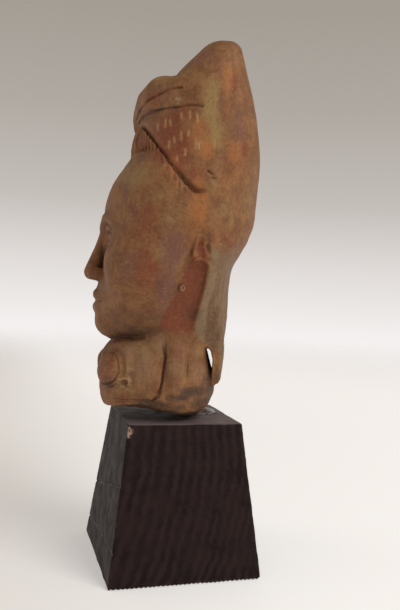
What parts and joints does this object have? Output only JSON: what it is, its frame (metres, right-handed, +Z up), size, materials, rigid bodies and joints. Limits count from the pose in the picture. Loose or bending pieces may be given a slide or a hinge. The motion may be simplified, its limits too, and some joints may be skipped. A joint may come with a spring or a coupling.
{
  "type": "terracotta head of a smiling figure on a wooden block",
  "caption": "Fired-clay figurine head with folded headdress, neck and shoulder fragment, on a tapered dark wooden block; stands on its underside as an ornament.",
  "frame": {"origin": "centre of the block's underside, on the surface it stands on", "axes": "+Z up, -Y the way the block's front and, turned by 8 degrees, the face look; +X is the figure's left"},
  "size_m": [0.0908, 0.0749, 0.2234],
  "materials": {
    "terracotta": "matte, worn and mottled, with remains of red slip",
    "stained_wood": "dark stain over end grain, dull sheen",
    "adhesive": "clear greyish, glossy"
  },
  "bodies": {
    "root": {"figure": "terracotta", "block": "stained_wood", "adhesive_pad": "adhesive"}
  },
  "joints": []
}
